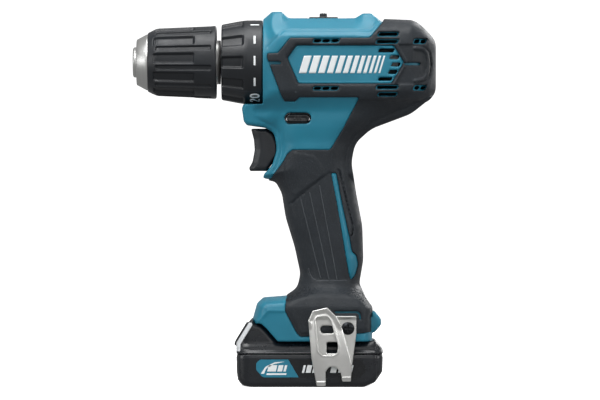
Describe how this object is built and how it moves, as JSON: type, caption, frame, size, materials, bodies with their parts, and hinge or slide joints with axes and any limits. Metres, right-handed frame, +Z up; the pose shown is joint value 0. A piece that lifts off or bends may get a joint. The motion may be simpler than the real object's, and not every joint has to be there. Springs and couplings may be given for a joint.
{
  "type": "cordless drill",
  "caption": "Cordless drill driver with pistol grip, keyless chuck, numbered clutch ring, slide-on battery pack and belt clip.",
  "frame": {"origin": "centre of the battery's resting face, under the handle, on the ground plane", "axes": "+Z up from the battery base to the motor head; the chuck points along -X; the belt clip is on the -Y side; Y = 0 is the housing's parting plane"},
  "size_m": [0.1776, 0.0649, 0.2197],
  "materials": {
    "teal_plastic": "fine satin texture",
    "black_rubber": "matt soft-touch overmould",
    "black_plastic": "satin",
    "pack_plastic": "semi-gloss",
    "chuck_steel": "machined",
    "gear_steel": "sintered",
    "cast_alloy": "die cast",
    "black_steel": "black oxide",
    "clip_steel": "satin stainless",
    "copper": "bare copper alloy",
    "brass": "bare brass",
    "magnet": "sintered ferrite",
    "lens": "clear",
    "cell_wrap": "shrink sleeve over a steel can"
  },
  "bodies": {
    "housing": {"housing_left": "teal_plastic", "housing_right": "teal_plastic", "grip_left": "black_rubber", "grip_right": "black_rubber", "housing_screw_1": "black_steel", "housing_screw_2": "black_steel", "housing_screw_3": "black_steel", "housing_screw_4": "black_steel", "housing_screw_5": "black_steel", "housing_screw_6": "black_steel", "gear_case": "cast_alloy", "front_bearing": "chuck_steel", "thrust_plate": "gear_steel", "ring_gear_1": "gear_steel", "motor_plate": "cast_alloy", "motor_can": "gear_steel", "magnet_upper": "magnet", "magnet_lower": "magnet", "motor_end_bell": "black_plastic", "brush_near": "brass", "brush_far": "brass", "switch_body": "black_plastic", "terminal_block": "brass", "led_lens": "lens", "belt_clip": "clip_steel", "clip_screw": "black_steel", "trigger_spring": "gear_steel"},
    "spindle": {"spindle": "gear_steel", "chuck_body": "chuck_steel", "chuck_screw": "black_steel"},
    "sleeve": {"chuck_sleeve": "black_plastic", "chuck_nut": "gear_steel"},
    "jaw_1": {"jaw_1": "chuck_steel"},
    "jaw_2": {"jaw_2": "chuck_steel"},
    "jaw_3": {"jaw_3": "chuck_steel"},
    "planet_2_1": {"planet_2_1": "gear_steel"},
    "planet_2_2": {"planet_2_2": "gear_steel"},
    "planet_2_3": {"planet_2_3": "gear_steel"},
    "carrier_1": {"carrier_1": "gear_steel"},
    "planet_1_1": {"planet_1_1": "gear_steel"},
    "planet_1_2": {"planet_1_2": "gear_steel"},
    "planet_1_3": {"planet_1_3": "gear_steel"},
    "rotor": {"motor_shaft": "gear_steel", "armature": "gear_steel", "commutator": "copper", "cooling_fan": "black_plastic"},
    "clutch_ring": {"clutch_ring": "black_plastic"},
    "clutch_nut": {"clutch_nut": "cast_alloy", "clutch_spring": "gear_steel"},
    "selector": {"speed_selector": "black_plastic", "shift_ring_gear": "gear_steel"},
    "direction": {"direction_button": "black_plastic"},
    "trigger": {"trigger": "black_plastic"},
    "battery": {"battery_case_lower": "pack_plastic", "battery_case_upper": "pack_plastic", "cell_1": "cell_wrap", "cell_2": "cell_wrap", "cell_3": "cell_wrap"},
    "latch": {"latch_button": "black_plastic"}
  },
  "joints": [
    {"name": "chuck_spin", "type": "hinge", "parent": "housing", "child": "spindle", "pos_m": [-0.06, 0, 0.19], "axis": [1, 0, 0], "continuous": true},
    {"name": "sleeve_turn", "type": "hinge", "parent": "spindle", "child": "sleeve", "pos_m": [-0.075, 0, 0.19], "axis": [1, 0, 0], "range_deg": [0, 2800]},
    {"name": "jaw_1_slide", "type": "slide", "parent": "spindle", "child": "jaw_1", "axis": [-0.9537, 0, -0.3007], "range_m": [0, 0.0156]},
    {"name": "jaw_2_slide", "type": "slide", "parent": "spindle", "child": "jaw_2", "axis": [-0.9537, 0.2604, 0.1504], "range_m": [0, 0.0156]},
    {"name": "jaw_3_slide", "type": "slide", "parent": "spindle", "child": "jaw_3", "axis": [-0.9537, -0.2604, 0.1504], "range_m": [0, 0.0156]},
    {"name": "rotor_spin", "type": "hinge", "parent": "housing", "child": "rotor", "pos_m": [0.03, 0, 0.19], "axis": [1, 0, 0], "continuous": true},
    {"name": "carrier_1_spin", "type": "hinge", "parent": "housing", "child": "carrier_1", "pos_m": [-0.01, 0, 0.19], "axis": [1, 0, 0], "continuous": true},
    {"name": "planet_2_1_spin", "type": "hinge", "parent": "spindle", "child": "planet_2_1", "pos_m": [-0.016, 0, 0.19945], "axis": [1, 0, 0], "continuous": true},
    {"name": "planet_2_2_spin", "type": "hinge", "parent": "spindle", "child": "planet_2_2", "pos_m": [-0.016, -0.00818, 0.18527], "axis": [1, 0, 0], "continuous": true},
    {"name": "planet_2_3_spin", "type": "hinge", "parent": "spindle", "child": "planet_2_3", "pos_m": [-0.016, 0.00818, 0.18527], "axis": [1, 0, 0], "continuous": true},
    {"name": "planet_1_1_spin", "type": "hinge", "parent": "carrier_1", "child": "planet_1_1", "pos_m": [-0.0055, 0, 0.19945], "axis": [1, 0, 0], "continuous": true},
    {"name": "planet_1_2_spin", "type": "hinge", "parent": "carrier_1", "child": "planet_1_2", "pos_m": [-0.0055, -0.00818, 0.18527], "axis": [1, 0, 0], "continuous": true},
    {"name": "planet_1_3_spin", "type": "hinge", "parent": "carrier_1", "child": "planet_1_3", "pos_m": [-0.0055, 0.00818, 0.18527], "axis": [1, 0, 0], "continuous": true},
    {"name": "clutch_ring_turn", "type": "hinge", "parent": "housing", "child": "clutch_ring", "pos_m": [-0.04, 0, 0.19], "axis": [1, 0, 0], "range_deg": [-140, 155]},
    {"name": "clutch_nut_slide", "type": "slide", "parent": "clutch_ring", "child": "clutch_nut", "axis": [1, 0, 0], "range_m": [-0.0013, 0.0013], "deforming": ["clutch_spring"]},
    {"name": "selector_slide", "type": "slide", "parent": "housing", "child": "selector", "axis": [1, 0, 0], "range_m": [0, 0.004]},
    {"name": "direction_slide", "type": "slide", "parent": "housing", "child": "direction", "axis": [0, 1, 0], "range_m": [-0.003, 0.003]},
    {"name": "trigger_pull", "type": "slide", "parent": "housing", "child": "trigger", "axis": [1, 0, 0], "range_m": [0, 0.0058], "stiffness_N_per_m": 600, "springref_m": -0.0015, "deforming": ["trigger_spring"]},
    {"name": "battery_slide", "type": "slide", "parent": "housing", "child": "battery", "axis": [-1, 0, 0], "range_m": [0, 0.1]},
    {"name": "latch_press", "type": "slide", "parent": "battery", "child": "latch", "axis": [0, 0, -1], "range_m": [0, 0.0025], "stiffness_N_per_m": 700, "springref_m": -0.0008}
  ],
  "couplings": [
    {"joint": "jaw_1_slide", "follows": "sleeve_turn", "m_per_rad": 0.00031831},
    {"joint": "jaw_2_slide", "follows": "sleeve_turn", "m_per_rad": 0.00031831},
    {"joint": "jaw_3_slide", "follows": "sleeve_turn", "m_per_rad": 0.00031831},
    {"joint": "rotor_spin", "follows": "chuck_spin", "ratio": 20.25},
    {"joint": "carrier_1_spin", "follows": "chuck_spin", "ratio": 4.5},
    {"joint": "planet_2_1_spin", "follows": "chuck_spin", "ratio": -2.8},
    {"joint": "planet_2_2_spin", "follows": "chuck_spin", "ratio": -2.8},
    {"joint": "planet_2_3_spin", "follows": "chuck_spin", "ratio": -2.8},
    {"joint": "planet_1_1_spin", "follows": "chuck_spin", "ratio": -12.6},
    {"joint": "planet_1_2_spin", "follows": "chuck_spin", "ratio": -12.6},
    {"joint": "planet_1_3_spin", "follows": "chuck_spin", "ratio": -12.6},
    {"joint": "clutch_nut_slide", "follows": "clutch_ring_turn", "m_per_rad": 0.00047746}
  ]
}
